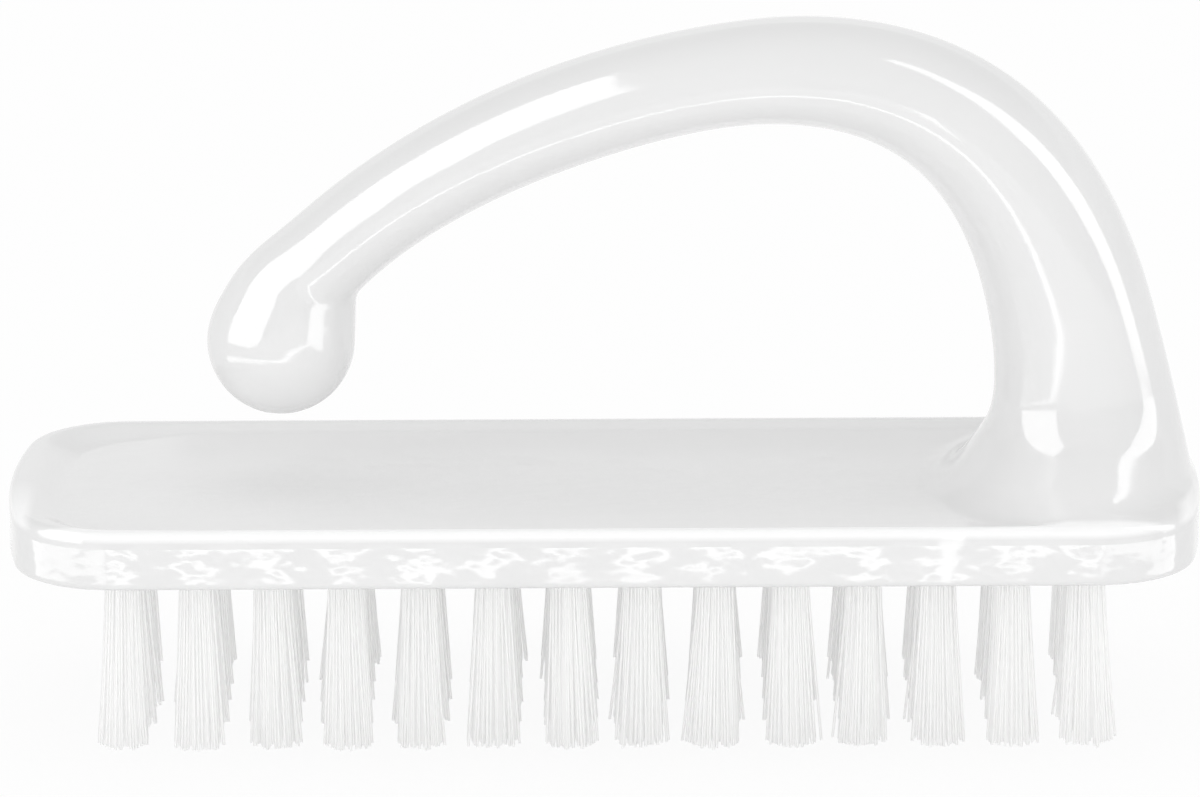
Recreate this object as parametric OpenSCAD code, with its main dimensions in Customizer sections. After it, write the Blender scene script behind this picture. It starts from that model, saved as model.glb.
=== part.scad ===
// Nail brush with a one-piece moulded body, a hook handle that ends in a ball, and staple-set tufts.
// The trimmed tips stand on z = 0, the plate is centred on the origin, and the handle rises at +X.
// All sizes are in millimetres.

/* [Plate] */
// Length of the plate between the middles of its two bowed ends
plate_length = 90; // [84:0.5:96]
// Width of the plate between its two straight sides
plate_width = 33; // [31:0.5:36]
// Height of the plate from its underside to the top of its rim
plate_height = 4.4; // [4.2:0.1:6]
// Radius of the bow of each end, seen from above
end_radius = 62; // [50:1:90]
// Radius of the four corners, seen from above
corner_radius = 7.75; // [7:0.25:9]
// Rounding of the outer top edge of the rim
rim_round = 0.8; // [0.4:0.1:1]
// Rounding of the lower edge of the plate
low_round = 0.4; // [0.2:0.1:0.6]
// Width of the raised rim, from the outer wall to the start of its inner slope
rim_width = 1; // [0.95:0.05:1.6]
// Width of the slope that leads from the rim down to the dished floor
slope_width = 5.4; // [3:0.1:5.6]
// Depth of the dished floor below the top of the rim
dish_depth = 0.95; // [0.5:0.05:1.1]

/* [Handle] */
// Distance from the bowed end of the plate to the middle line of the handle's root
root_inset = 8.4; // [8.2:0.1:10]
// Distance along the plate from the root's middle line to the top of the arch
arch_run = 22.9; // [19:0.1:26]
// Height of the arch's middle line above the top of the rim
arch_rise = 31.3; // [28:0.1:36]
// Distance along the plate from the top of the arch to the middle of the ball
hook_run = 38; // [34:0.5:42]
// Diameter of the ball at the end of the hook
ball_diameter = 11.1; // [10:0.1:12.5]
// Height of the open mouth between the ball and the top of the rim
mouth_height = 5; // [4.6:0.1:8]
// Height of the neck's middle line above the middle of the ball
neck_rise = 5.8; // [5:0.1:7]
// Distance along the plate from the ball's middle back to the neck
neck_lead = 2.6; // [2:0.1:3.6]

/* [Handle section] */
// Thickness of the handle at its root, in the plane of the arch
root_thick = 13.8; // [12:0.1:14]
// Thickness of the handle at its shoulder
shoulder_thick = 11; // [9:0.1:12.5]
// Thickness of the handle at the top of its arch
arch_thick = 7.7; // [6:0.1:9]
// Thickness of the handle along its grip
grip_thick = 7.4; // [6:0.1:9]
// Thickness of the handle at the neck above the ball
neck_thick = 7.3; // [6:0.1:9]
// Width of the handle at its root, across the plate
root_width = 13.6; // [12:0.1:16]
// Width of the handle at its shoulder
shoulder_width = 14.4; // [12:0.1:17]
// Width of the handle at the top of its arch
arch_width = 13.8; // [10:0.1:16]
// Width of the handle along its grip
grip_width = 12.6; // [9:0.1:15]
// Width of the handle at the neck above the ball
neck_width = 10.8; // [8:0.1:12]

/* [Handle foot] */
// Widening of the root on every side where it nears the plate
splay = 0.8; // [0.3:0.1:0.9]
// Height above the dished floor over which the root widens
splay_height = 14; // [8:0.5:18]
// Reach of the foot's fillet over the dished floor, across the plate
fillet_reach = 6; // [3:0.1:6.9]
// Height of the foot's fillet above the dished floor
fillet_height = 7.5; // [4:0.1:10]

/* [Tufts] */
// Number of tufts in a line along the plate
tuft_columns = 14; // [8:1:14]
// Number of tufts in a line across the plate
tuft_rows = 5; // [3:1:5]
// Distance from the bowed end of the plate to the first line of tufts
tuft_end_inset = 8.9; // [8.5:0.1:12]
// Distance from a straight side of the plate to the first line of tufts
tuft_side_inset = 5.5; // [5:0.1:7]
// Length of the bristles from the underside of the plate to their trimmed tips
bristle_length = 13.5; // [9:0.5:18]
// Width of a tuft across its flared tips
tip_spread = 4.5; // [3.2:0.1:4.8]
// Number of strands in the ring round the middle strand of a tuft
ring_strands = 6; // [4:1:6]
// Size of a strand across its corners
strand_size = 0.9; // [0.6:0.05:0.95]
// Depth that is cut off the strands so that their tips lie flat
trim_depth = 0.5; // [0.3:0.1:1]

/* [Tuft holes] */
// Diameter of each blind hole
hole_diameter = 2.7; // [2.5:0.05:3]
// Depth of each blind hole
hole_depth = 2.6; // [2.3:0.05:2.7]
// Gap between the bound end of a tuft and its hole
tuft_clearance = 0.05; // [0.02:0.01:0.1]

/* [Anchors] */
// Length of the flat wire anchor, which bites into the wall on both sides of its hole
anchor_length = 3.4; // [3.2:0.05:3.8]
// Height of the flat wire anchor
anchor_height = 1.3; // [1:0.05:1.4]
// Thickness of the flat wire anchor
anchor_thick = 0.3; // [0.2:0.05:0.4]
// Thickness of the tuft's fold between the anchor and the end of the hole
fold_thick = 0.5; // [0.3:0.05:0.6]
// Angle between an anchor and the length of the plate
anchor_angle = 30; // [0:5:90]
// Gap between an anchor and the walls of its slots
anchor_clearance = 0.03; // [0.01:0.01:0.06]

/* [Hidden] */
$fn = 72;

// Overrun of every cut past the face that it opens
overrun = 0.5;

// Heights of the plate, measured from the trimmed tips
plate_low = bristle_length;
plate_top = plate_low + plate_height;
dish_floor = plate_top - dish_depth;
hole_end = plate_low + hole_depth;

// Plan of the plate: the middles of the corners and of the bow, and the angle of half a bow
corner_y = plate_width / 2 - corner_radius;
bow_reach = end_radius - corner_radius;
bow_angle = asin(corner_y / bow_reach);
bow_middle_x = plate_length / 2 - end_radius;
corner_x = bow_middle_x + bow_reach * cos(bow_angle);

// Number of straight steps in each rounded edge and in the slope of the rim
round_steps = 4;
slope_steps = 5;

// Number of straight steps in half a bow and in a corner, seen from above
bow_steps = 6;
corner_steps = 8;

// Places on the handle's middle line, as [x, z]
root_x = plate_length / 2 - root_inset;
root_low = (hole_end + dish_floor) / 2;
arch_top = [root_x - arch_run, plate_top + arch_rise];
ball_radius = ball_diameter / 2;
ball_middle = [arch_top[0] - hook_run, plate_top + mouth_height + ball_radius];
neck = ball_middle + [neck_lead, neck_rise];

// Direction of the middle line at the neck, downwards from level
neck_angle = 46;
neck_way = [-cos(neck_angle), -sin(neck_angle)];

// Pull of each curve's inner points, as shares of the run or rise that the curve covers
leg_pull_share = 0.57;
shoulder_pull_share = 0.76;
grip_pull_share = 0.23;
neck_pull_share = 0.4;
hook_pull_share = 0.4;
ball_pull_share = 0.35;

leg_rise = arch_top[1] - root_low;
grip_run = arch_top[0] - neck[0];
hook_drop = norm(neck - ball_middle);
leg_curve = [
    [root_x, root_low],
    [root_x, root_low + leg_pull_share * leg_rise],
    arch_top + [shoulder_pull_share * arch_run, 0],
    arch_top
];
grip_curve = [
    arch_top,
    arch_top - [grip_pull_share * grip_run, 0],
    neck - neck_pull_share * grip_run * neck_way,
    neck
];
hook_curve = [
    neck,
    neck + hook_pull_share * hook_drop * neck_way,
    ball_middle + [0, ball_pull_share * hook_drop],
    ball_middle
];
middle_line = [leg_curve, grip_curve, hook_curve];

// Share of the swell from the neck to the ball that half of the hook's curve has
hook_swell_share = 0.7;
hook_thick = neck_thick + hook_swell_share * (ball_diameter - neck_thick);
hook_width = neck_width + hook_swell_share * (ball_diameter - neck_width);

// Sections of the handle at the ends and the middle of each of its three curves
thick_stations = [
    root_thick, shoulder_thick, arch_thick, grip_thick, neck_thick, hook_thick, ball_diameter
];
width_stations = [
    root_width, shoulder_width, arch_width, grip_width, neck_width, hook_width, ball_diameter
];

// Sides of a ring of the handle, and the number of rings in each of its stretches
ring_sides = 32;
foot_rings = 9;
leg_rings = 12;
grip_rings = 14;
hook_rings = 8;
ball_rings = 6;

// Share of the leg's curve that the finely ringed foot takes, and how much its rings crowd downwards
foot_share = 0.16;
foot_crowding = 1.6;

// Depth of the fillet's lowest edge under the dished floor, as a share of the fillet's height
fillet_sink_share = 0.05;

// Reach of the fillet along the plate, as a share of its reach across the plate
inner_reach_share = 0.75;

// Spacing of the tufts, and the middles of the first ones
column_pitch = (plate_length - 2 * tuft_end_inset) / (tuft_columns - 1);
row_pitch = (plate_width - 2 * tuft_side_inset) / (tuft_rows - 1);
first_column_x = tuft_end_inset - plate_length / 2;
first_row_y = tuft_side_inset - plate_width / 2;

// Bound end of a tuft, with its anchor between the fold and the mouth of the hole
plug_radius = hole_diameter / 2 - tuft_clearance;
plug_top = hole_end - tuft_clearance;
anchor_top = plug_top - fold_thick;
anchor_low = anchor_top - anchor_height;
strand_top = plate_low + (anchor_low - anchor_clearance - plate_low) / 2;

// Strands lean out from the hole to the width of the tips
strand_sides = 4;
strand_ring = plug_radius - strand_size / 2;
strand_lean = atan((tip_spread / 2 - strand_size / 2 - strand_ring) / strand_top);
strand_length = (strand_top + trim_depth) / cos(strand_lean);

// Turn of the strands from one tuft to the next, so that neighbours differ
column_turn = 37;
row_turn = 23;

function two_digits(i) = i < 10 ? str("0", i) : str(i);
function tuft_name(i) = str("tuft_column_", two_digits(i));
function anchor_name(i) = str("anchor_column_", two_digits(i));

// Points of an arc about a middle point, from one angle to another
function arc_points(middle, radius, from, to, steps) = [
    for (k = [0:steps])
        let (a = from + (to - from) * k / steps)
        middle + radius * [cos(a), sin(a)]
];

// Soft S-shaped slope from the rim down to the dished floor, as insets and heights
slope_points = [
    for (k = [0:slope_steps])
        let (share = k / slope_steps)
        [rim_width + slope_width * share, plate_height - dish_depth * (1 - cos(180 * share)) / 2]
];

// Section of the rim from the underside up and over to the floor: insets from the outline, and heights
rim_points = concat(
    arc_points([low_round, low_round], low_round, 270, 180, round_steps),
    arc_points([rim_round, plate_height - rim_round], rim_round, 180, 90, round_steps),
    slope_points
);

// Quarter of the plate's plan at an inset from its outline: half a bow, then a corner
function quarter_plan(inset) =
    let (
        bow = arc_points([bow_middle_x, 0], end_radius - inset, 0, bow_angle, bow_steps),
        corner = arc_points([corner_x, corner_y], corner_radius - inset, bow_angle, 90, corner_steps)
    )
    concat(bow, [for (k = [1:corner_steps]) corner[k]]);

// Whole plan at an inset, counter-clockwise from the middle of the end at +X
function plate_plan(inset) =
    let (
        quarter = quarter_plan(inset),
        last = len(quarter) - 1
    )
    concat(
        quarter,
        [for (k = [last:-1:0]) [-quarter[k][0], quarter[k][1]]],
        [for (k = [1:last]) [-quarter[k][0], -quarter[k][1]]],
        [for (k = [last:-1:1]) [quarter[k][0], -quarter[k][1]]]
    );

// Point and direction of a cubic curve
function curve_point(c, t) =
    pow(1 - t, 3) * c[0] + 3 * pow(1 - t, 2) * t * c[1]
    + 3 * (1 - t) * pow(t, 2) * c[2] + pow(t, 3) * c[3];
function curve_slope(c, t) =
    pow(1 - t, 2) * (c[1] - c[0]) + 2 * (1 - t) * t * (c[2] - c[1]) + pow(t, 2) * (c[3] - c[2]);

// Value at place u on a list of stations, joined by smooth cubic pieces
function before(v, k) = k > 0 ? v[k - 1] : 2 * v[0] - v[1];
function after(v, k) = k + 2 < len(v) ? v[k + 2] : 2 * v[k + 1] - v[k];
function station_value(v, u) =
    let (
        k = min(floor(u), len(v) - 2),
        f = u - k,
        a = before(v, k),
        b = v[k],
        c = v[k + 1],
        d = after(v, k)
    )
    b + f * (c - a) / 2 + f * f * (2 * a - 5 * b + 4 * c - d) / 2
    + f * f * f * (3 * b - a - 3 * c + d) / 2;

// Widening of the root at a height: a long splay, and a round fillet on the sides that face the dish
function splay_at(z) =
    let (t = min(1, max(0, 1 - (z - dish_floor) / splay_height)))
    splay * t * t;
function fillet_at(z) =
    let (
        foot = dish_floor - fillet_sink_share * fillet_height,
        t = min(1, max(0, 1 - (z - foot) / fillet_height))
    )
    fillet_reach * (1 - sqrt(1 - t * t));

// Ring of points round the middle line at place u, from 0 at the root to 3 at the ball
function handle_ring(u) =
    let (
        k = min(floor(u), len(middle_line) - 1),
        p = curve_point(middle_line[k], u - k),
        s = curve_slope(middle_line[k], u - k),
        out = [s[1], -s[0]] / norm(s),
        on_leg = k == 0 ? 1 : 0,
        widen = on_leg * splay_at(p[1]),
        fillet = on_leg * fillet_at(p[1]),
        outer = station_value(thick_stations, 2 * u) / 2 + widen,
        side = station_value(width_stations, 2 * u) / 2 + widen + fillet
    )
    [
        for (i = [0:ring_sides - 1])
            let (
                a = 360 * i / ring_sides,
                reach = cos(a) * (cos(a) > 0 ? outer : outer + inner_reach_share * fillet)
            )
            [p[0] + out[0] * reach, side * sin(a), p[1] + out[1] * reach]
    ];

// Ring of the ball below its middle, at an angle of latitude
function ball_ring(lat) = [
    for (i = [0:ring_sides - 1])
        let (
            a = 360 * i / ring_sides,
            r = ball_radius * cos(lat)
        )
        [ball_middle[0] - r * cos(a), r * sin(a), ball_middle[1] - ball_radius * sin(lat)]
];

// Places of the rings along the middle line, closer together in the foot
ring_places = concat(
    [for (k = [0:foot_rings - 1]) foot_share * pow(k / foot_rings, foot_crowding)],
    [for (k = [0:leg_rings - 1]) foot_share + (1 - foot_share) * k / leg_rings],
    [for (k = [0:grip_rings - 1]) 1 + k / grip_rings],
    [for (k = [0:hook_rings - 1]) 2 + k / hook_rings]
);

// The handle is one skin: rings up the leg, over the arch and down the hook, and round the ball
module handle() {
    rings = concat(
        [for (u = ring_places) handle_ring(u)],
        [for (k = [0:ball_rings - 1]) ball_ring(90 * k / ball_rings)]
    );
    last = len(rings) - 1;
    pole = (last + 1) * ring_sides;
    points = concat([for (r = rings) each r], [[ball_middle[0], 0, ball_middle[1] - ball_radius]]);
    walls = [
        for (k = [0:last - 1], i = [0:ring_sides - 1])
            let (
                a = k * ring_sides + i,
                b = k * ring_sides + (i + 1) % ring_sides
            )
            each [[a, b + ring_sides, b], [a, a + ring_sides, b + ring_sides]]
    ];
    root_face = [for (i = [1:ring_sides - 2]) [0, i, i + 1]];
    tip_face = [
        for (i = [0:ring_sides - 1])
            [last * ring_sides + (i + 1) % ring_sides, last * ring_sides + i, pole]
    ];
    polyhedron(points, concat(walls, root_face, tip_face));
}

// The plate is one skin: rings from the underside up the wall, over the rim and down to the floor
module plate() {
    rings = [for (p = rim_points) [for (q = plate_plan(p[0])) [q[0], q[1], p[1]]]];
    ring_points = len(rings[0]);
    last = len(rings) - 1;
    walls = [
        for (k = [0:last - 1], i = [0:ring_points - 1])
            let (
                a = k * ring_points + i,
                b = k * ring_points + (i + 1) % ring_points
            )
            each [[a, b + ring_points, b], [a, a + ring_points, b + ring_points]]
    ];
    underside = [for (i = [0:ring_points - 1]) i];
    dish = [for (i = [ring_points - 1:-1:0]) last * ring_points + i];
    polyhedron([for (r = rings) each r], concat(walls, [underside, dish]));
}

// Blind hole for one tuft, with the two grooves that its anchor cuts on the way in
module tuft_hole() {
    translate([0, 0, plate_low - overrun])
        cylinder(h = hole_depth + overrun, d = hole_diameter);
    rotate([0, 0, anchor_angle])
        translate([0, 0, (plate_low - overrun + anchor_top + anchor_clearance) / 2])
            cube([
                anchor_length + 2 * anchor_clearance,
                anchor_thick + 2 * anchor_clearance,
                anchor_top + anchor_clearance - plate_low + overrun
            ], center = true);
}

// Places its children at every tuft of one column
module at_column(i) {
    for (row = [1:tuft_rows])
        translate([
            first_column_x + (i - 1) * column_pitch,
            first_row_y + (row - 1) * row_pitch,
            0
        ])
            children();
}

// One straight strand, hung from its root and leaning out by an angle
module strand(lean) {
    translate([0, 0, strand_top])
        rotate([0, -lean, 0])
            translate([0, 0, -strand_length])
                cylinder(h = strand_length, d = strand_size, $fn = strand_sides);
}

// Bound end of a tuft, slotted for its anchor
module plug() {
    difference() {
        translate([0, 0, plate_low])
            cylinder(h = plug_top - plate_low, r = plug_radius);
        rotate([0, 0, anchor_angle])
            translate([0, 0, anchor_top - anchor_height / 2])
                cube([
                    anchor_length + 2 * anchor_clearance,
                    anchor_thick + 2 * anchor_clearance,
                    anchor_height + 2 * anchor_clearance
                ], center = true);
    }
}

// One tuft: a middle strand and a ring of leaning ones, fused into the bound end and trimmed flat
module tuft(turn) {
    difference() {
        union() {
            plug();
            rotate([0, 0, turn]) {
                strand(0);
                for (k = [0:ring_strands - 1])
                    rotate([0, 0, 360 * k / ring_strands])
                        translate([strand_ring, 0, 0])
                            strand(strand_lean);
            }
        }
        translate([-tip_spread, -tip_spread, -2 * trim_depth])
            cube([2 * tip_spread, 2 * tip_spread, 2 * trim_depth]);
    }
}

module brush_body() {
    color("WhiteSmoke")
        difference() {
            union() {
                translate([0, 0, plate_low])
                    plate();
                handle();
            }
            for (i = [1:tuft_columns])
                at_column(i)
                    tuft_hole();
        }
}

module tuft_column(i) {
    color("White")
        for (row = [1:tuft_rows])
            translate([
                first_column_x + (i - 1) * column_pitch,
                first_row_y + (row - 1) * row_pitch,
                0
            ])
                tuft(column_turn * i + row_turn * row);
}

module anchor_column(i) {
    color("Silver")
        at_column(i)
            rotate([0, 0, anchor_angle])
                translate([0, 0, anchor_top - anchor_height / 2])
                    cube([anchor_length, anchor_thick, anchor_height], center = true);
}

brush_body();
for (i = [1:tuft_columns]) {
    tuft_column(i);
    anchor_column(i);
}
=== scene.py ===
"""Looks of the nail brush: its moulded body, its bristles and a white studio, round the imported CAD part."""

import math

import bmesh
import bpy
import numpy as np
from mathutils import Matrix, Vector


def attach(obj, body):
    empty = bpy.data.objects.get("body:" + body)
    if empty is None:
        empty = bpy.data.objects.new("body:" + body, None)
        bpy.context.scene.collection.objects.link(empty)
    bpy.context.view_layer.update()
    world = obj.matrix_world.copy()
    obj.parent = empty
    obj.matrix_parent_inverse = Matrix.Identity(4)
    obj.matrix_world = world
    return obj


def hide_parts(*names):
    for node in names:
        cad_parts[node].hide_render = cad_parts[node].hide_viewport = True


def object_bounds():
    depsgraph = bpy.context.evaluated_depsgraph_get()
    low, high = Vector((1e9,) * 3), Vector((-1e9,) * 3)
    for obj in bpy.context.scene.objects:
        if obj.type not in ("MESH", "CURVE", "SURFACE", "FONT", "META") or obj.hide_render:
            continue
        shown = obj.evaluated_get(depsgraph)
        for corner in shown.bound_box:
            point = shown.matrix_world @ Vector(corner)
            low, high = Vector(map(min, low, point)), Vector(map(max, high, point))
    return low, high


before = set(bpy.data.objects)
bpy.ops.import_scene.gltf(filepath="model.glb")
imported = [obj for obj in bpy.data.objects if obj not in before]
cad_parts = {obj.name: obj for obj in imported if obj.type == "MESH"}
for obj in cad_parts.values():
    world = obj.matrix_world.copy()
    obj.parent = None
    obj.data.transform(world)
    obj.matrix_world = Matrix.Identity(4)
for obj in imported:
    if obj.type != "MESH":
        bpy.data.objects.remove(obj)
CAD_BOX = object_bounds()

# Millimetres in metres. Shapes are worked out in millimetres and made in metres.
MM = 0.001
SEED = 11

# Smallest divisor, so that nothing is divided by zero
TINY = 1e-6

# The same sizes as the CAD part has, in millimetres
PLATE_LENGTH, PLATE_WIDTH, PLATE_HEIGHT = 90.0, 33.0, 4.4
BRISTLE_LENGTH = 13.5
PLATE_TOP = BRISTLE_LENGTH + PLATE_HEIGHT
END_RADIUS, CORNER_RADIUS = 62.0, 7.75
RIM_ROUND, LOW_ROUND = 0.8, 0.4
RIM_WIDTH, DISH_DEPTH = 1.0, 0.95
BALL_RADIUS = 5.55
TUFT_COLUMNS, TUFT_ROWS = 14, 5
TUFT_RUN, ROW_PITCH = 72.2, 5.5
COLUMN_PITCH = TUFT_RUN / (TUFT_COLUMNS - 1)
FIRST_X, FIRST_Y = -TUFT_RUN / 2, -ROW_PITCH * (TUFT_ROWS - 1) / 2
HOLE_RADIUS, HOLE_DEPTH = 1.35, 2.6
SLOT_LENGTH, SLOT_WIDTH, SLOT_DEPTH, SLOT_TURN = 3.46, 0.36, 2.08, math.radians(30)

# Plan of the plate: middles of the corners and of the bowed ends
BOW_REACH = END_RADIUS - CORNER_RADIUS
CORNER_Y = PLATE_WIDTH / 2 - CORNER_RADIUS
BOW_ANGLE = math.asin(CORNER_Y / BOW_REACH)
BOW_X = PLATE_LENGTH / 2 - END_RADIUS
CORNER_X = BOW_X + BOW_REACH * math.cos(BOW_ANGLE)

# Middle line of the handle: three curves of four points, up the leg, along the grip and down the hook.
# A pull is the share of a curve's own run that an inner point lies away from its end.
ROOT_X, ROOT_LOW = 36.6, 16.525
ARCH = np.array([13.7, 49.2])
BALL = np.array([-24.3, 28.45])
NECK = BALL + np.array([2.6, 5.8])
NECK_ANGLE = math.radians(46)
NECK_WAY = np.array([-math.cos(NECK_ANGLE), -math.sin(NECK_ANGLE)])
LEG_PULL, SHOULDER_PULL, GRIP_PULL, NECK_PULL, HOOK_PULL, BALL_PULL = 0.57, 0.76, 0.23, 0.4, 0.4, 0.35

# Thickness and width of the handle at the ends and the middle of each curve
THICK = (13.8, 11.0, 7.7, 7.4, 7.3, 9.96, 10.9)
WIDE = (13.6, 14.4, 13.8, 12.6, 10.2, 9.0, 8.6)

# The ball has a short upright body, from its middle up to a smaller cap under the neck, which is a little
# wider across the brush. The neck runs into it with a crease, and its inner half keeps its thickness down to
# there.
CAP, CAP_RADIUS, CAP_FLATNESS = np.array([-22.85, 32.3]), 4.25, 0.12
CREASE_BLEND = 0.4
NECK_HALF, NECK_SWELL = 3.65, 0.4

# Widening of the root, and its blend with the dish: towards the ball, across the plate and towards its end.
# The blend grows from its least value over a run along the plate, so that only the root has it.
SPLAY, SPLAY_HEIGHT = 1.3, 14.0
INNER_BLEND, FRONT_BLEND, OUTER_BLEND = 2.0, 2.4, 1.0
LEAST_BLEND, BLEND_RUN = 0.01, (18, 23)

# Flare of the root over the plate: its top, its rounding, the angle that it then keeps, and the share that
# the inner side has
FLARE_TOP, FLARE_ROUND, FLARE_ANGLE = 24.9, 4.6, math.radians(52)
FLARE_INNER = 0.4

# The dish: a small step down inside the rim, deeper and wider at both ends, and a wide trough between them
LIP_DEPTH, LIP_WIDTH = 0.4, 1.5
END_LIP_DEPTH, END_LIP_WIDTH, END_LIP_RUN = 0.9, 3.6, (2.0, 12.0)
TROUGH_DEPTH, TROUGH_RUN = 0.55, 14.0

# Grid that the body's surface is found on, and how far it reaches past the body
GRID_MARGIN, GRID_STEP, GRID_STEP_X = 0.7, 0.34, 0.345

# Its finer steps upwards, where they start and end from the plate's underside and from its top, and the gap
# between them and the coarse steps over them
FINE_STEP, EDGE_ZONE, RIM_ZONE, ZONE_GAP = 0.13, (-0.3, 0.6), (-1.3, 0.3), 0.2

# Rounds that then draw each point onto the surface, the length that a slope is measured over, and the least
# square of a slope that is divided by
DRAW_ROUNDS, SLOPE_LENGTH, LEAST_SLOPE = 3, 0.01, 0.05

# How far from the underside's level a point is still put on it, and how level a face there has to be
UNDERSIDE_REACH, LEVEL_TOLERANCE = 0.002, 0.0001

# Sides of a drilled hole, how far the cutters stand out below the plate, and the angles that make an edge
# sharp
HOLE_SIDES, CUT_OVERRUN = 40, 1
BODY_EDGE, FILAMENT_EDGE = math.radians(40), math.radians(70)


def smoothstep(low, high, v):
    t = np.clip((v - low) / (high - low), 0, 1)
    return t * t * (3 - 2 * t)


def bezier(points, t):
    a, b, c, d = (np.asarray(p, float) for p in points)
    t = t[:, None]
    return (1 - t) ** 3 * a + 3 * (1 - t) ** 2 * t * b + 3 * (1 - t) * t**2 * c + t**3 * d


def catmull(values, u):
    """Values joined by smooth cubic pieces, at places u from 0 to len(values) - 1."""
    v = np.asarray(values, float)
    v = np.concatenate([[2 * v[0] - v[1]], v, [2 * v[-1] - v[-2]]])
    k = np.clip(np.floor(u).astype(int), 0, len(values) - 2)
    f = u - k
    a, b, c, d = v[k], v[k + 1], v[k + 2], v[k + 3]
    return b + f * (c - a) / 2 + f**2 * (2 * a - 5 * b + 4 * c - d) / 2 + f**3 * (3 * b - a - 3 * c + d) / 2


def smoothed(values, sigma):
    """Values at even steps, smoothed over sigma steps and held at both ends."""
    reach = int(4 * sigma)
    kernel = np.exp(-0.5 * (np.arange(-reach, reach + 1) / sigma) ** 2)
    kernel /= kernel.sum()
    before = 2 * values[0] - values[reach:0:-1]
    after = 2 * values[-1] - values[-2 : -reach - 2 : -1]
    return np.convolve(np.concatenate([before, values, after]), kernel, "valid")


def root_flare(x, z):
    """How far the root's sides stand out at a height, on the leg only."""
    drop = np.clip((FLARE_TOP - z) / FLARE_ROUND, 0, None)
    bend = math.sin(FLARE_ANGLE)
    curved = FLARE_ROUND * (1 - np.sqrt(1 - np.minimum(drop, bend) ** 2))
    straight = FLARE_ROUND * np.maximum(drop - bend, 0) * math.tan(FLARE_ANGLE)
    return (curved + straight) * (x > 0)


class Handle:
    """The handle's middle line at even steps, with its direction, bend, and half thickness and width."""

    # Length of a step, how many steps the smoothing reaches over, and samples taken of each curve
    STEP, SOFTENING, SAMPLES = 0.2, 8.0, 800

    # Points looked up at once, and the least share that a step keeps on the inside of a bend
    BLOCK, LEAST_SHARE = 20000, 0.2

    def __init__(self):
        leg_rise, grip_run, drop = ARCH[1] - ROOT_LOW, ARCH[0] - NECK[0], np.linalg.norm(NECK - BALL)
        root = np.array([ROOT_X, ROOT_LOW])
        curves = [
            [root, root + [0, LEG_PULL * leg_rise], ARCH + [SHOULDER_PULL * (ROOT_X - ARCH[0]), 0], ARCH],
            [ARCH, ARCH - [GRIP_PULL * grip_run, 0], NECK - NECK_PULL * grip_run * NECK_WAY, NECK],
            [NECK, NECK + HOOK_PULL * drop * NECK_WAY, BALL + [0, BALL_PULL * drop], BALL],
        ]
        t = np.linspace(0, 1, self.SAMPLES + 1)[:-1]
        line = np.concatenate([bezier(c, t) for c in curves] + [BALL[None]])
        place = np.concatenate([t, 1 + t, 2 + t, [len(curves)]])
        length = np.concatenate([[0], np.cumsum(np.linalg.norm(np.diff(line, axis=0), axis=1))])
        s = np.linspace(0, length[-1], int(length[-1] / self.STEP) + 1)
        self.step = s[1] - s[0]
        x, z = (smoothed(np.interp(s, length, line[:, i]), self.SOFTENING) for i in (0, 1))
        u = np.interp(s, length, place)
        self.at = np.stack([x, z], 1)
        way = np.gradient(self.at, self.step, axis=0)
        self.way = way / np.linalg.norm(way, axis=1)[:, None]
        angle = np.unwrap(np.arctan2(self.way[:, 1], self.way[:, 0]))
        self.bend = smoothed(np.gradient(angle, self.step), self.SOFTENING)
        splay = SPLAY * np.clip(1 - (z - PLATE_TOP + DISH_DEPTH) / SPLAY_HEIGHT, 0, 1) ** 2 * (u < 1)
        half = catmull(THICK, 2 * u) / 2
        kept = np.where(u > 2, np.minimum(half, NECK_HALF + NECK_SWELL * (u - 2)), half)
        self.thick = smoothed(half, self.SOFTENING) + splay
        self.inner = smoothed(kept, self.SOFTENING) + splay
        self.wide = smoothed(catmull(WIDE, 2 * u) / 2, self.SOFTENING) + splay

    def nearest(self, x, z):
        """Index of the nearest point on the middle line."""
        out = np.empty(x.size, int)
        fx, fz = x.ravel(), z.ravel()
        for start in range(0, x.size, self.BLOCK):
            part = slice(start, start + self.BLOCK)
            d = (fx[part, None] - self.at[:, 0]) ** 2 + (fz[part, None] - self.at[:, 1]) ** 2
            out[part] = d.argmin(1)
        return out.reshape(x.shape)

    def reach(self, x, z, near):
        """Distance from the middle line in its plane, with the half thickness and half width there."""
        p, t, k = self.at[near], self.way[near], self.bend[near]
        dx, dz = x - p[..., 0], z - p[..., 1]
        along = dx * t[..., 0] + dz * t[..., 1]
        across = dx * -t[..., 1] + dz * t[..., 0]
        inner = (near > 0) & (near < len(self.at) - 1)
        share = np.maximum(1 - k * across, self.LEAST_SHARE)
        shift = np.where(inner, np.clip(along / share, -self.step, self.step), 0)
        r = np.where(inner, np.abs(across - 0.5 * k * along * shift), np.hypot(along, across))
        place = near + shift / self.step
        index = np.arange(len(self.at))
        flare = root_flare(x, z)
        thick = np.interp(place, index, self.thick)
        inside = np.interp(place, index, self.inner) + FLARE_INNER * flare
        return r, np.where(across > 0, inside, thick), np.interp(place, index, self.wide) + flare


HANDLE = Handle()


def plan_distance(x, y):
    """Signed distance from the plate's outline, seen from above."""
    ax, ay = np.abs(x), np.abs(y)
    cx, cy = ax - CORNER_X, ay - CORNER_Y
    at_corner = (cx > 0) & (cy * math.cos(BOW_ANGLE) - cx * math.sin(BOW_ANGLE) > 0)
    straight = np.maximum(ay - PLATE_WIDTH / 2, np.hypot(ax - BOW_X, ay) - END_RADIUS)
    return np.where(at_corner, np.hypot(cx, cy) - CORNER_RADIUS, straight)


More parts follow.
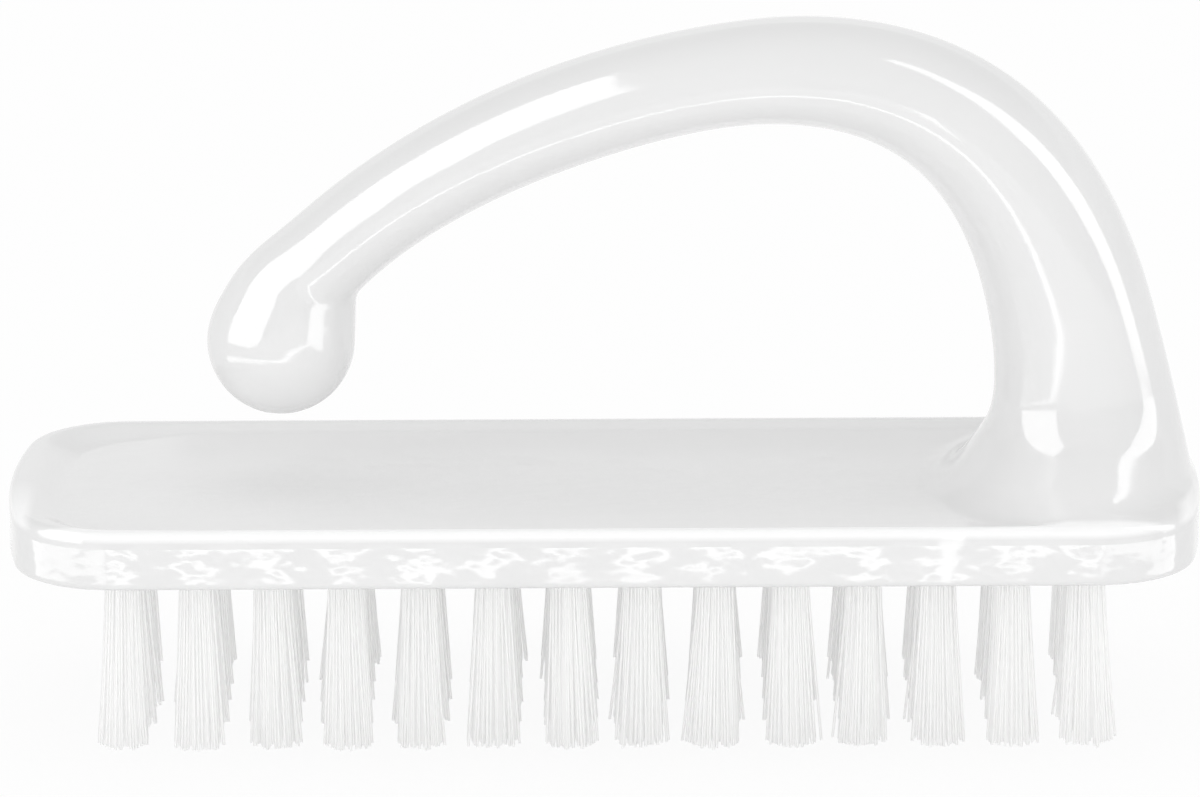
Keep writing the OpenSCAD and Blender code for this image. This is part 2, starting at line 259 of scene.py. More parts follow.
def dish_height(x, y, inset):
    """Height of the plate's top, at an inset from its outline."""
    across = np.clip(1 - (y / (PLATE_WIDTH / 2 - RIM_WIDTH)) ** 2, 0, 1)
    from_end = END_RADIUS - np.hypot(np.abs(x) - BOW_X, y) - RIM_WIDTH
    end = 1 - smoothstep(*END_LIP_RUN, from_end)
    t = np.clip((inset - RIM_WIDTH) / (LIP_WIDTH + (END_LIP_WIDTH - LIP_WIDTH) * end), 0, 1)
    lip = (LIP_DEPTH + (END_LIP_DEPTH - LIP_DEPTH) * end) * (1 - np.cos(math.pi * t)) / 2
    return PLATE_TOP - lip - TROUGH_DEPTH * across * smoothstep(0, TROUGH_RUN, from_end)


def rounded_both(a, b, radius):
    """What is inside both fields, with the edge between them rounded."""
    outer = np.hypot(np.maximum(a + radius, 0), np.maximum(b + radius, 0))
    return np.minimum(np.maximum(a, b), -radius) + outer


def ball_field(x, y, z):
    """Signed distance from the ball and its short upright body."""
    way = CAP - BALL
    length = np.linalg.norm(way)
    taper = (BALL_RADIUS - CAP_RADIUS) / length
    up = ((x - BALL[0]) * way[0] + (z - BALL[1]) * way[1]) / length
    y = y * (1 - CAP_FLATNESS * smoothstep(0, length, up))
    out = np.sqrt(np.maximum((x - BALL[0]) ** 2 + (z - BALL[1]) ** 2 - up**2, 0) + y**2)
    at = np.clip(up - out * taper / math.sqrt(1 - taper**2), 0, length)
    return np.hypot(out, up - at) - BALL_RADIUS + taper * at


def body_field(x, y, z, reach):
    """About the signed distance from the moulded body's surface, in millimetres."""
    r, thick, wide = reach
    q = np.sqrt((r / thick) ** 2 + (y / wide) ** 2)
    slope = np.sqrt((r / thick**2) ** 2 + (y / wide**2) ** 2)
    handle = (q - 1) * q / np.maximum(slope, TINY)
    ball = ball_field(x, y, z)
    lap = np.maximum(CREASE_BLEND - np.abs(ball - handle), 0)
    handle = np.minimum(ball, handle) - lap**2 / (4 * CREASE_BLEND)
    plan = plan_distance(x, y)
    top = z - dish_height(x, y, -plan)
    away = (x - ROOT_X) / np.maximum(np.hypot(x - ROOT_X, y), TINY)
    end = np.where(away > 0, OUTER_BLEND, INNER_BLEND)
    blend = FRONT_BLEND + (end - FRONT_BLEND) * smoothstep(0, 1, np.abs(away))
    blend = LEAST_BLEND + blend * smoothstep(*BLEND_RUN, x)
    lap = np.maximum(blend - np.abs(top - handle), 0)
    joined = np.minimum(top, handle) - lap**2 / (4 * blend)
    walled = rounded_both(joined, plan, RIM_ROUND)
    return rounded_both(walled, BRISTLE_LENGTH - z, LOW_ROUND)


def surface_nets(axes, f):
    """Vertices and quads of the surface where f is zero, on a grid with uneven steps."""
    inside = f < 0
    cells = tuple(n - 1 for n in f.shape)
    total = np.zeros((int(np.prod(cells)), 3))
    count = np.zeros(len(total))
    crossings = []
    for axis in range(3):
        low = [slice(None)] * 3
        high = [slice(None)] * 3
        low[axis], high[axis] = slice(0, -1), slice(1, None)
        where = np.argwhere(inside[tuple(low)] != inside[tuple(high)])
        after = where.copy()
        after[:, axis] += 1
        f0, f1 = f[tuple(where.T)], f[tuple(after.T)]
        share = f0 / (f0 - f1)
        p = np.stack([axes[i][where[:, i]] for i in range(3)], 1)
        p[:, axis] += share * (axes[axis][after[:, axis]] - p[:, axis])
        b, c = [i for i in range(3) if i != axis]
        around = []
        for db, dc in ((-1, -1), (0, -1), (0, 0), (-1, 0)):
            cell = where.copy()
            cell[:, b] += db
            cell[:, c] += dc
            flat = np.ravel_multi_index(cell.T, cells)
            around.append(flat)
            for i in range(3):
                total[:, i] += np.bincount(flat, p[:, i], len(total))
            count += np.bincount(flat, minlength=len(total))
        turn = (f0 < 0) != (axis == 1)
        quads = np.stack(around, 1)
        quads[~turn] = quads[~turn][:, ::-1]
        crossings.append(quads)
    used = np.flatnonzero(count)
    number = np.full(len(total), -1)
    number[used] = np.arange(len(used))
    return total[used] / count[used, None], number[np.concatenate(crossings)]


def field_at(p, near):
    x, y, z = p.T
    return body_field(x, y, z, HANDLE.reach(x, z, near))


def field_slope(p, near):
    out = np.empty_like(p)
    for i in range(3):
        d = np.zeros(3)
        d[i] = SLOPE_LENGTH
        out[:, i] = (field_at(p + d, near) - field_at(p - d, near)) / (2 * SLOPE_LENGTH)
    return out


def grid_heights():
    """Heights of the grid's levels, closer together at the plate's lower edge and at its rim."""
    edge_low, edge_high = (BRISTLE_LENGTH + rise for rise in EDGE_ZONE)
    rim_low, rim_high = (PLATE_TOP + rise for rise in RIM_ZONE)
    top = CAD_BOX[1][2] / MM + GRID_MARGIN
    return np.concatenate([
        np.arange(edge_low, edge_high, FINE_STEP),
        np.arange(edge_high, rim_low, GRID_STEP),
        np.arange(rim_low, rim_high, FINE_STEP),
        np.arange(rim_high + ZONE_GAP, top, GRID_STEP),
    ])


def body_shape():
    """Vertices, in millimetres, and quads of the moulded body without its holes."""
    end, side = PLATE_LENGTH / 2 + GRID_MARGIN, PLATE_WIDTH / 2 + GRID_MARGIN
    xs = np.arange(-end, end + GRID_STEP_X, GRID_STEP_X)
    half = np.arange(GRID_STEP / 2, side, GRID_STEP)
    ys = np.concatenate([-half[::-1], half])
    zs = grid_heights()
    gx, gz = np.meshgrid(xs, zs, indexing="ij")
    reach = HANDLE.reach(gx, gz, HANDLE.nearest(gx, gz))
    r, thick, wide = (v[:, None, :] for v in reach)
    f = np.empty((len(xs), len(ys), len(zs)))
    upper = body_field(xs[:, None, None], half[None, :, None], zs[None, None, :], (r, thick, wide))
    f[:, len(half) :, :] = upper
    f[:, : len(half), :] = upper[:, ::-1, :]
    points, quads = surface_nets((xs, ys, zs), f)
    near = HANDLE.nearest(points[:, 0], points[:, 2])
    for _ in range(DRAW_ROUNDS):
        g = field_slope(points, near)
        points -= g * (field_at(points, near) / np.maximum((g**2).sum(1), LEAST_SLOPE))[:, None]
    return points, quads


def new_piece(name, points, faces, smooth=True):
    """A mesh object from points in millimetres."""
    mesh = bpy.data.meshes.new(name)
    mesh.from_pydata((np.asarray(points) * MM).tolist(), [], [list(map(int, f)) for f in faces])
    mesh.validate()
    if smooth:
        mesh.shade_smooth()
    piece = bpy.data.objects.new(name, mesh)
    bpy.context.scene.collection.objects.link(piece)
    return piece


def prisms(outline, turn, low, high):
    """Points and faces of one upright prism at each tuft."""
    points, faces = [], []
    n = len(outline)
    c, s = math.cos(turn), math.sin(turn)
    for cx, cy in tuft_places():
        base = len(points)
        ring = [(cx + c * x - s * y, cy + s * x + c * y) for x, y in outline]
        points += [(x, y, low) for x, y in ring] + [(x, y, high) for x, y in ring]
        faces += [[base + i, base + (i + 1) % n, base + n + (i + 1) % n, base + n + i] for i in range(n)]
        faces += [[base + n - 1 - i for i in range(n)], [base + n + i for i in range(n)]]
    return points, faces


def tuft_places():
    return [
        (FIRST_X + COLUMN_PITCH * i, FIRST_Y + ROW_PITCH * j)
        for i in range(TUFT_COLUMNS)
        for j in range(TUFT_ROWS)
    ]


def cut(piece, points, faces):
    """Takes closed shapes out of a piece."""
    cutter = new_piece("cutter", points, faces, smooth=False)
    boolean = piece.modifiers.new("cut", "BOOLEAN")
    boolean.operation, boolean.solver, boolean.object = "DIFFERENCE", "MANIFOLD", cutter
    bpy.context.view_layer.update()
    evaluated = piece.evaluated_get(bpy.context.evaluated_depsgraph_get())
    mesh = bpy.data.meshes.new_from_object(evaluated)
    piece.modifiers.clear()
    piece.data = mesh
    bpy.data.objects.remove(cutter)


def join_flat_faces(piece, height):
    """Makes one face of all the faces that lie level at a height, in millimetres."""
    bm = bmesh.new()
    bm.from_mesh(piece.data)
    flat = [f for f in bm.faces if all(abs(v.co.z - height * MM) < LEVEL_TOLERANCE * MM for v in f.verts)]
    bmesh.ops.dissolve_faces(bm, faces=flat, use_verts=False)
    bm.to_mesh(piece.data)
    bm.free()


def make_body():
    """The moulded body, with a blind hole and its anchor's slot at each tuft."""
    points, quads = body_shape()
    under = np.abs(points[:, 2] - BRISTLE_LENGTH) < UNDERSIDE_REACH
    points[under, 2] = BRISTLE_LENGTH
    piece = new_piece("moulded_body", points, quads)
    join_flat_faces(piece, BRISTLE_LENGTH)
    turns = [2 * math.pi * i / HOLE_SIDES for i in range(HOLE_SIDES)]
    ring = [(HOLE_RADIUS * math.cos(a), HOLE_RADIUS * math.sin(a)) for a in turns]
    below = BRISTLE_LENGTH - CUT_OVERRUN
    cut(piece, *prisms(ring, 0, below, BRISTLE_LENGTH + HOLE_DEPTH))
    x, y = SLOT_LENGTH / 2, SLOT_WIDTH / 2
    cut(piece, *prisms([(-x, -y), (x, -y), (x, y), (-x, y)], SLOT_TURN, below, BRISTLE_LENGTH + SLOT_DEPTH))
    piece.data.shade_smooth()
    piece.data.set_sharp_from_angle(angle=BODY_EDGE)
    return piece


# Bristles: filaments per tuft, their radius and sides, and a tuft's radius at root and tips and at most
FILAMENTS = 90
FILAMENT_RADIUS = 0.1
FILAMENT_SIDES = 6
ROOT_SPREAD, TIP_SPREAD, SPREAD_LIMIT = 1.22, 1.95, 2.62

# Heights of a filament's rings, from inside the hole to the tip
FILAMENT_LEVELS = np.array([15.0, BRISTLE_LENGTH, 10.2, 6.6, 3.2, 0])

# Unevenness: of a tuft's spread and its lean, of each root and tip, of the bend, and of a tip's height
SPREAD_RANGE, TUFT_LEAN = (0.93, 1.06), 0.16
ROOT_SCATTER, TIP_SCATTER = 0.02, 0.13
BEND_RANGE = (1.0, 1.35)
SHORT_SHARE, SHORT_MOST = 0.5, 0.16

# Share of the filaments that stray further, and how far
STRAY_SHARE, STRAY_SCATTER = 0.06, 0.3

# Turn from one filament to the next in the spiral that fills a tuft evenly
SPIRAL_TURN = math.pi * (3 - math.sqrt(5))


def filament_paths(rng, cx, cy):
    """Middle lines of one tuft's filaments, from inside the hole down to the trimmed tips."""
    i = np.arange(FILAMENTS)
    radius = ROOT_SPREAD * np.sqrt((i + 0.5) / FILAMENTS)
    angle = i * SPIRAL_TURN + rng.uniform(0, 2 * math.pi)
    root = np.stack([radius * np.cos(angle), radius * np.sin(angle)], 1)
    root = root + rng.normal(0, ROOT_SCATTER, (FILAMENTS, 2))
    spread = TIP_SPREAD / ROOT_SPREAD * rng.uniform(*SPREAD_RANGE)
    lean = rng.normal(0, TUFT_LEAN, 2)
    tip = root * spread + lean + rng.normal(0, TIP_SCATTER, (FILAMENTS, 2))
    stray = rng.random(FILAMENTS) < STRAY_SHARE
    tip[stray] += rng.normal(0, STRAY_SCATTER, (stray.sum(), 2))
    far = np.hypot(*tip.T)
    tip *= np.minimum(1, SPREAD_LIMIT / np.maximum(far, TINY))[:, None]
    bend = rng.uniform(*BEND_RANGE, FILAMENTS)
    low = np.where(rng.random(FILAMENTS) < SHORT_SHARE, 0, rng.uniform(0, SHORT_MOST, FILAMENTS))
    share = np.clip(1 - FILAMENT_LEVELS / BRISTLE_LENGTH, 0, 1)
    way = share[None, :] ** bend[:, None]
    xy = root[:, None, :] + (tip - root)[:, None, :] * way[:, :, None]
    z = np.broadcast_to(FILAMENT_LEVELS, way.shape).copy()
    z[:, -1] = low
    return np.concatenate([xy + np.array([cx, cy]), z[:, :, None]], 2)


def tubes(paths, radius, sides):
    """Points and faces of round tubes with flat ends along upright paths."""
    count, rings = paths.shape[:2]
    a = 2 * np.pi * np.arange(sides) / sides
    circle = np.stack([np.cos(a), np.sin(a), np.zeros(sides)], 1) * radius
    points = (paths[:, :, None, :] + circle).reshape(-1, 3)
    k, i, j = np.meshgrid(np.arange(count), np.arange(rings - 1), np.arange(sides), indexing="ij")
    base = (k * rings + i) * sides
    nxt = (j + 1) % sides
    walls = np.stack([base + j, base + sides + j, base + sides + nxt, base + nxt], -1).reshape(-1, 4)
    first = np.arange(count)[:, None] * rings * sides
    tops = first + np.arange(sides)
    lows = first + (rings - 1) * sides + np.arange(sides)[::-1]
    return points, walls.tolist() + tops.tolist() + lows.tolist()


def make_bristles(column):
    """The filaments of one column of tufts."""
    rng = np.random.default_rng(SEED + column)
    cx = FIRST_X + COLUMN_PITCH * (column - 1)
    paths = np.concatenate([filament_paths(rng, cx, FIRST_Y + ROW_PITCH * j) for j in range(TUFT_ROWS)])
    piece = new_piece(f"bristles_{column:02d}", *tubes(paths, FILAMENT_RADIUS, FILAMENT_SIDES))
    piece.data.set_sharp_from_angle(angle=FILAMENT_EDGE)
    return piece


# Moulded plastic: the least and most of its faint mottling and of its roughness, with the noise behind each,
# per metre
PLASTIC_TONES, PLASTIC_TONE_SCALE = ((0.80, 0.80, 0.80), (0.825, 0.825, 0.825)), 60
PLASTIC_ROUGHNESS, PLASTIC_ROUGHNESS_SCALE = (0.07, 0.11), 240
PLASTIC_IOR = 1.5

# Its fine grain: noise per metre, strength, and depth in millimetres
GRAIN_SCALE, GRAIN_STRENGTH, GRAIN_DEPTH = 420, 0.05, 0.2

# Waves that shrinkage leaves in the plate's walls: per metre along the wall and up it, and their height
WAVE_ALONG, WAVE_UP, WAVE_HEIGHT = 300, 420, 0.12

# Lean of the walls at each tuft, where the shrinkage is largest: depth of the bump for each step up the wall
SINK_LEAN = 0.022

# Heights from the start of the rim's rounding, in millimetres, between which the waves and the lean fade out
WAVE_FADE = (0.1, -0.4)

# A highlight painted as a paler tone on the rim's front half: its tone, how far in it reaches, where it fades
# round the ends, and the heights above the plate that it fades between where the handle starts
RIM_HIGHLIGHT_TONE = (0.97, 0.97, 0.97, 1)
RIM_HIGHLIGHT_REACH, RIM_HIGHLIGHT_FADE, RIM_HIGHLIGHT_TURN = 1.6, 0.7, (1.0, 10.0)
RIM_HIGHLIGHT_CEILING = (0.3, 0.1)

# Nylon: the tones of the filaments, from the darkest to the palest
NYLON_TONES = ((0.96, 0.96, 0.955), (0.995, 0.995, 0.99))
NYLON_ROUGHNESS, NYLON_IOR, NYLON_CLEARNESS = 0.38, 1.53, 0.2

# Anchor wire, as for the plastic
WIRE_TONES, WIRE_TONE_SCALE = ((0.55, 0.55, 0.54), (0.66, 0.66, 0.64)), 900
WIRE_ROUGHNESS, WIRE_ROUGHNESS_SCALE = (0.25, 0.42), 3000

# Part of a noise's values that the least and most are spread over, and how many octaves a noise has
NOISE_RANGE = (0.3, 0.7)
FINE_DETAIL, SOFT_DETAIL = 3, 2


def new_material(name):
    m = bpy.data.materials.new(name)
    m.use_nodes = True
    tree = m.node_tree
    return m, tree, tree.nodes["Principled BSDF"]


def set_inputs(node, **values):
    for key, value in values.items():
        node.inputs[key.replace("_", " ")].default_value = value


def object_place(tree):
    return tree.nodes.new("ShaderNodeTexCoord").outputs["Object"]


def split(tree, source):
    """The x, y and z sockets of a vector."""
    n = tree.nodes.new("ShaderNodeSeparateXYZ")
    tree.links.new(source, n.inputs[0])
    return n.outputs


def noise(tree, place, scale, detail):
    n = tree.nodes.new("ShaderNodeTexNoise")
    set_inputs(n, Scale=scale, Detail=detail)
    tree.links.new(place, n.inputs["Vector"])
    return n.outputs["Fac"]


def ramp(tree, source, stops):
    """Grey values or colours by place along a ramp."""
    n = tree.nodes.new("ShaderNodeValToRGB")
    tree.links.new(source, n.inputs["Fac"])
    while len(n.color_ramp.elements) < len(stops):
        n.color_ramp.elements.new(0.5)
    for e, (at, value) in zip(n.color_ramp.elements, stops):
        e.position = at
        e.color = (*value, 1) if isinstance(value, tuple) else (value, value, value, 1)
    return n.outputs["Color"]


def mottled(tree, place, scale, detail, values):
    """A noise between a least and a most value."""
    return ramp(tree, noise(tree, place, scale, detail), list(zip(NOISE_RANGE, values)))


def bump(tree, source, strength, depth, before=None):
    """A bump of a depth in millimetres, on top of another one if there is one before it."""
    n = tree.nodes.new("ShaderNodeBump")
    set_inputs(n, Strength=strength, Distance=depth * MM)
    tree.links.new(source, n.inputs["Height"])
    if before is not None:
        tree.links.new(before, n.inputs["Normal"])
    return n.outputs["Normal"]


def feed(tree, value, socket):
    """Puts a constant or another node's output on a socket."""
    if isinstance(value, float):
        socket.default_value = value
    else:
        tree.links.new(value, socket)


def mixed(tree, share, low, high):
    """A number between two others, each of them a constant or a socket."""
    n = tree.nodes.new("ShaderNodeMix")
    n.data_type = "FLOAT"
    tree.links.new(share, n.inputs[0])
    feed(tree, low, n.inputs[2])
    feed(tree, high, n.inputs[3])
    return n.outputs[0]


def mixed_shader(tree, share, first, second):
    n = tree.nodes.new("ShaderNodeMixShader")
    for source, socket in zip((share, first, second), n.inputs):
        tree.links.new(source, socket)
    return n.outputs[0]


def combine(tree, operation, *values):
    n = tree.nodes.new("ShaderNodeMath")
    n.operation = operation
    for value, socket in zip(values, n.inputs):
        feed(tree, value, socket)
    return n.outputs[0]


def product(tree, a, b):
    return combine(tree, "MULTIPLY", a, b)


def sum_of(tree, a, b):
    return combine(tree, "ADD", a, b)


def span(tree, source, low, high):
    """0 at low and 1 at high, both in millimetres, and held beyond them."""
    n = tree.nodes.new("ShaderNodeMapRange")
    tree.links.new(source, n.inputs["Value"])
    set_inputs(n, From_Min=low * MM, From_Max=high * MM)
    return n.outputs[0]


def wall_waves(tree, place):
    """Soft waves on the plate's walls, and none above them."""
    stretch = tree.nodes.new("ShaderNodeVectorMath")
    stretch.operation = "MULTIPLY"
    stretch.inputs[1].default_value = (WAVE_ALONG, WAVE_ALONG, WAVE_UP)
    tree.links.new(place, stretch.inputs[0])
    x, _, z = split(tree, place)
    wall_top = PLATE_TOP - RIM_ROUND
    keep = span(tree, z, *(wall_top + rise for rise in WAVE_FADE))
    waves = product(tree, noise(tree, stretch.outputs[0], 1, SOFT_DETAIL), WAVE_HEIGHT)
    turn = product(tree, x, 2 * math.pi / (COLUMN_PITCH * MM))
    over = combine(tree, "COSINE", sum_of(tree, turn, -2 * math.pi * FIRST_X / COLUMN_PITCH))
    rise = sum_of(tree, z, -wall_top * MM)
    lean = product(tree, product(tree, rise, -SINK_LEAN / MM), over)
    return product(tree, sum_of(tree, waves, lean), keep)


def painted_rim_highlight(tree, place):
    """Share of the painted highlight: 1 on the front half of the plate's rim and 0 elsewhere."""
    x, y, z = split(tree, place)
    rise = span(tree, z, PLATE_TOP - RIM_ROUND, PLATE_TOP - RIM_ROUND / 2)
    handle = span(tree, z, *(PLATE_TOP + height for height in RIM_HIGHLIGHT_CEILING))
    side, end = PLATE_WIDTH / 2 - RIM_HIGHLIGHT_REACH, PLATE_LENGTH / 2 - RIM_HIGHLIGHT_REACH
    front = product(tree, y, -1.0)
    along = span(tree, front, side - RIM_HIGHLIGHT_FADE, side)
    across = span(tree, combine(tree, "ABSOLUTE", x), end - RIM_HIGHLIGHT_FADE, end)
    across = product(tree, across, span(tree, front, *RIM_HIGHLIGHT_TURN))
    return product(tree, product(tree, rise, handle), combine(tree, "MAXIMUM", along, across))


def body_material():
    m, tree, shader = new_material("moulded_plastic")
    place = object_place(tree)
    tone = mottled(tree, place, PLASTIC_TONE_SCALE, FINE_DETAIL, PLASTIC_TONES)
    # Painted highlight: the rim's front half is mixed towards a paler tone, which stands in for its sheen
    highlight_mix = tree.nodes.new("ShaderNodeMixRGB")
    tree.links.new(painted_rim_highlight(tree, place), highlight_mix.inputs["Fac"])
    tree.links.new(tone, highlight_mix.inputs["Color1"])
    highlight_mix.inputs["Color2"].default_value = RIM_HIGHLIGHT_TONE
    tree.links.new(highlight_mix.outputs[0], shader.inputs["Base Color"])
    gloss = mottled(tree, place, PLASTIC_ROUGHNESS_SCALE, FINE_DETAIL, PLASTIC_ROUGHNESS)
    tree.links.new(gloss, shader.inputs["Roughness"])
    wave = bump(tree, wall_waves(tree, place), 1, 1)
    grain = bump(tree, noise(tree, place, GRAIN_SCALE, SOFT_DETAIL), GRAIN_STRENGTH, GRAIN_DEPTH, wave)
    tree.links.new(grain, shader.inputs["Normal"])
    set_inputs(shader, IOR=PLASTIC_IOR)
    return m


def bristle_material():
    m, tree, shader = new_material("nylon_filament")
    filament = tree.nodes.new("ShaderNodeNewGeometry").outputs["Random Per Island"]
    tree.links.new(ramp(tree, filament, list(zip((0, 1), NYLON_TONES))), shader.inputs["Base Color"])
    set_inputs(shader, Roughness=NYLON_ROUGHNESS, IOR=NYLON_IOR, Transmission_Weight=NYLON_CLEARNESS)
    return m


def wire_material():
    m, tree, shader = new_material("anchor_wire")
    place = object_place(tree)
    gloss = mottled(tree, place, WIRE_ROUGHNESS_SCALE, FINE_DETAIL, WIRE_ROUGHNESS)
    tree.links.new(gloss, shader.inputs["Roughness"])
    tone = mottled(tree, place, WIRE_TONE_SCALE, SOFT_DETAIL, WIRE_TONES)
    tree.links.new(tone, shader.inputs["Base Color"])
    set_inputs(shader, Metallic=1)
    return m


def paint(piece, material):
    piece.data.materials.clear()
    piece.data.materials.append(material)


# Studio: strength of the world's even light on the brush
WORLD_LIGHT = 0.89

# What the gloss sees of the room: a grey front, and behind the brush a wall that darkens upwards, by the
# upward part of the direction. The front turns into the wall between two backward parts of the direction.
ROOM_FRONT = 0.35
BACK_WALL = [(0, 0.9), (0.285, 0.9), (0.3, 1), (0.35, 0.7), (0.59, 0.5), (1, 0.5)]
ROOM_SEAM = (-0.15, 0.15)

# The floor: its half size, its card's tone, and its share of plain white to the camera and in reflections
FLOOR_REACH = 2500
CARD_TONE = (0.95, 0.95, 0.95, 1)
WHITE_SHARE = 0.9

# Soft panels that the gloss reflects: how far away they stand, the height that they are measured from, their
# strength, and their corners in shares of that distance, towards the back and up
PANEL_AWAY, PANEL_LEVEL, PANEL_STRENGTH = 700, 25, 4.5
LEFT_PANEL = [(-1.3, -0.03), (0.0, -0.03), (0.27, 0.76), (1.4, 2.7), (-1.0, 2.7)]
RIGHT_PANEL = [
    (-0.12, -0.03), (0.18, -0.03), (0.2, 0.7), (0.26, 1.5), (0.9, 3.2),
    (0.6, 3.2), (-0.1, 1.5), (-0.28, 0.72), (-0.22, 0.3),
]

# A lit strip on the floor in front of the brush, that the plate's wall reflects
STRIP_NEAR, STRIP_FAR, STRIP_REACH, STRIP_STRENGTH = -73, -87, 52, 5.6

# Lit arcs on the floor, that the walls' corners reflect: reach from the corner's middle, angles and points
ARC_NEAR, ARC_FAR = 54, 82
ARC_FROM, ARC_TO = math.radians(14), math.radians(100)
ARC_POINTS, ARC_STRENGTH = 25, 3.8

# Height of the strip and the arcs over the floor
LIT_LEVEL = 0.5

# A small card in front of the brush and to the right of the ball, lit on the side that faces the ball
CARD_X, CARD_FRONT, CARD_BACK, CARD_LOW, CARD_HIGH, CARD_STRENGTH = 27, -70, -25, 6, 48, 4.5

# Lamps: name, place, what they point at, width, depth, and power in watts
LAMPS = [
    ("top_softbox", (0, 0, 620), (0, 0, 20), 500, 400, 0.27),
    ("front_softbox", (-40, -600, 80), (0, 0, 25), 500, 130, 0.6),
]

# The photograph's view: its angles in radians, its distance, its target, and the lens and the sensor's width
VIEW_RISE, VIEW_TURN, VIEW_ROLL, VIEW_AWAY = math.radians(15), 0.0015, -0.0055, 800
VIEW_TARGET = Vector((-0.28, 0, 23.75))
LENS, SENSOR = 317.5, 36

# How far the camera sees, in metres
SIGHT = 20


def studio_material(name):
    """Nearly plain white to the camera and in reflections, with a share of card that keeps a soft shadow."""
    m = bpy.data.materials.new(name)
    m.use_nodes = True
    tree = m.node_tree
    tree.nodes.clear()
    out = tree.nodes.new("ShaderNodeOutputMaterial")
    card = tree.nodes.new("ShaderNodeBsdfDiffuse")
    card.inputs["Color"].default_value = CARD_TONE
    white = tree.nodes.new("ShaderNodeEmission")
    white.inputs["Strength"].default_value = 1
    path = tree.nodes.new("ShaderNodeLightPath").outputs
    other = combine(tree, "MAXIMUM", path["Is Transmission Ray"], path["Is Glossy Ray"])
    share = product(tree, combine(tree, "MAXIMUM", path["Is Camera Ray"], other), WHITE_SHARE)
    tree.links.new(mixed_shader(tree, share, card.outputs[0], white.outputs[0]), out.inputs["Surface"])
    return m


def add_floor():
    r = FLOOR_REACH
    corners = [(-r, -r, 0), (r, -r, 0), (r, r, 0), (-r, r, 0)]
    floor = new_piece("floor", corners, [range(len(corners))], smooth=False)
    paint(floor, studio_material("floor_card"))


def beside(side, corners):
    """Corners of a panel to the left or right of the brush."""
    return [(side * PANEL_AWAY, y * PANEL_AWAY, PANEL_LEVEL + z * PANEL_AWAY) for y, z in corners]


def floor_strip():
    r, near, far = STRIP_REACH, STRIP_NEAR, STRIP_FAR
    return [(x, y, LIT_LEVEL) for x, y in ((-r, near), (-r, far), (r, far), (r, near))]


def floor_arc(side):
    """Corners of a flat arc round one front corner of the plate."""
    turn = np.linspace(ARC_FROM, ARC_TO, ARC_POINTS)
    ring = [(far, a) for far, way in ((ARC_NEAR, turn), (ARC_FAR, turn[::-1])) for a in way]
    plan = [(CORNER_X + far * math.sin(a), -CORNER_Y - far * math.cos(a)) for far, a in ring]
    return [(side * x, y, LIT_LEVEL) for x, y in plan]


def ball_card():
    front, back, low, high = CARD_FRONT, CARD_BACK, CARD_LOW, CARD_HIGH
    return [(CARD_X, y, z) for y, z in ((front, low), (front, high), (back, high), (back, low))]


def add_panel(name, points, strength, one_sided=False):
    """A lit panel that shows only in the brush's gloss."""
    panel = new_piece(name, points, [range(len(points))], smooth=False)
    m = bpy.data.materials.new(name)
    m.use_nodes = True
    tree = m.node_tree
    tree.nodes.clear()
    out = tree.nodes.new("ShaderNodeOutputMaterial")
    light = tree.nodes.new("ShaderNodeEmission")
    light.inputs["Strength"].default_value = strength
    surface = light.outputs[0]
    if one_sided:
        clear = tree.nodes.new("ShaderNodeBsdfTransparent")
        behind = tree.nodes.new("ShaderNodeNewGeometry").outputs["Backfacing"]
        surface = mixed_shader(tree, behind, light.outputs[0], clear.outputs[0])
    tree.links.new(surface, out.inputs["Surface"])
    paint(panel, m)
    panel.visible_camera = panel.visible_diffuse = panel.visible_shadow = False


def add_panels():
    add_panel("left_panel", beside(-1, LEFT_PANEL), PANEL_STRENGTH)
    add_panel("right_panel", beside(1, RIGHT_PANEL), PANEL_STRENGTH)
    add_panel("floor_strip", floor_strip(), STRIP_STRENGTH)
    add_panel("left_arc", floor_arc(-1), ARC_STRENGTH)
    add_panel("right_arc", floor_arc(1), ARC_STRENGTH)
    add_panel("ball_card", ball_card(), CARD_STRENGTH, one_sided=True)


def add_lamp(name, at, target, width, depth, power):
    light = bpy.data.lights.new(name, "AREA")
    light.shape = "RECTANGLE"
    light.size, light.size_y = width * MM, depth * MM
    light.energy = power
    lamp = bpy.data.objects.new(name, light)
    lamp.location = Vector(at) * MM
    lamp.rotation_euler = (Vector(target) - Vector(at)).to_track_quat("-Z", "Y").to_euler()
    lamp.visible_glossy = False
    bpy.context.scene.collection.objects.link(lamp)


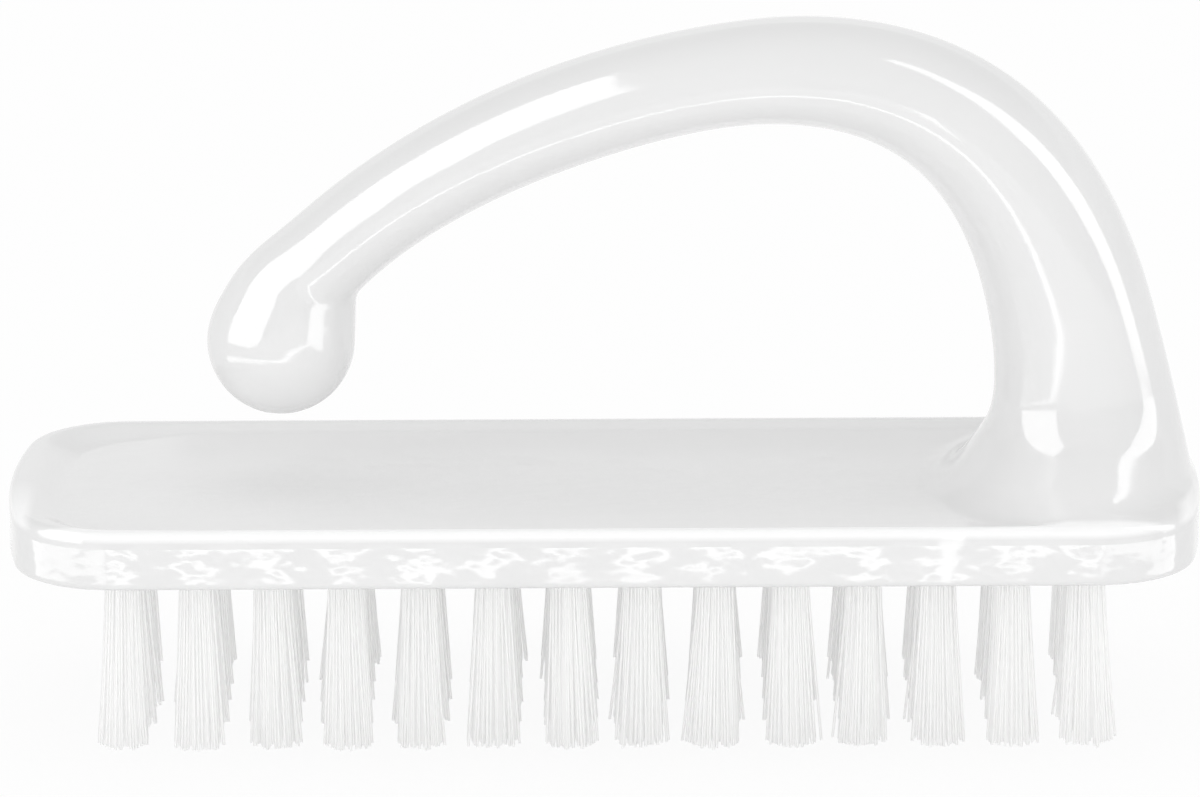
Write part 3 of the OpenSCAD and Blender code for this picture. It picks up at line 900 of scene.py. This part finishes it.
def add_world():
    """White to the camera, an even light on the brush, and a plain room in its gloss."""
    world = bpy.data.worlds.new("studio")
    world.use_nodes = True
    tree = world.node_tree
    back = tree.nodes["Background"]
    _, y, z = split(tree, tree.nodes.new("ShaderNodeTexCoord").outputs["Generated"])
    side = tree.nodes.new("ShaderNodeMapRange")
    tree.links.new(y, side.inputs["Value"])
    set_inputs(side, From_Min=ROOM_SEAM[0], From_Max=ROOM_SEAM[1])
    room = mixed(tree, side.outputs[0], ROOM_FRONT, ramp(tree, z, BACK_WALL))
    path = tree.nodes.new("ShaderNodeLightPath").outputs
    lit = mixed(tree, path["Is Glossy Ray"], WORLD_LIGHT, room)
    through = mixed(tree, path["Is Transmission Ray"], lit, 1.0)
    seen = mixed(tree, path["Is Camera Ray"], through, 1.0)
    tree.links.new(seen, back.inputs["Strength"])
    back.inputs["Color"].default_value = (1, 1, 1, 1)
    bpy.context.scene.world = world


def add_camera():
    """The photograph's view, nearly square on to the brush's long side."""
    rise, turn, roll = VIEW_RISE, VIEW_TURN, VIEW_ROLL
    back = Vector((math.sin(turn) * math.cos(rise), -math.cos(turn) * math.cos(rise), math.sin(rise)))
    right = Vector((math.cos(turn), math.sin(turn), 0))
    up = back.cross(right)
    side = right * math.cos(roll) + up * math.sin(roll)
    top = up * math.cos(roll) - right * math.sin(roll)
    data = bpy.data.cameras.new("camera")
    data.lens, data.sensor_width, data.clip_end = LENS, SENSOR, SIGHT
    camera = bpy.data.objects.new("camera", data)
    turned = Matrix((side, top, back)).transposed()
    camera.matrix_world = Matrix.Translation((VIEW_TARGET + back * VIEW_AWAY) * MM) @ turned.to_4x4()
    bpy.context.scene.collection.objects.link(camera)
    bpy.context.scene.camera = camera


def add_body(material):
    body = make_body()
    paint(body, material)
    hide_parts("brush_body")
    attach(body, "root")


def add_bristles(column, material):
    bristles = make_bristles(column)
    paint(bristles, material)
    bristles.visible_shadow = bristles.visible_diffuse = False
    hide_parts(f"tuft_column_{column:02d}")
    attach(bristles, "root")


plastic, nylon, wire = body_material(), bristle_material(), wire_material()

add_body(plastic)
for column in range(1, TUFT_COLUMNS + 1):
    add_bristles(column, nylon)

# The anchors keep their CAD solids. The replaced solids get the same materials, so that every node has one.
for name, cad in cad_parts.items():
    if name == "brush_body":
        paint(cad, plastic)
    elif name.startswith("tuft"):
        paint(cad, nylon)
    else:
        paint(cad, wire)

add_floor()
add_world()
add_camera()
add_panels()
for lamp in LAMPS:
    add_lamp(*lamp)

scene = bpy.context.scene
scene.view_settings.view_transform = "Standard"
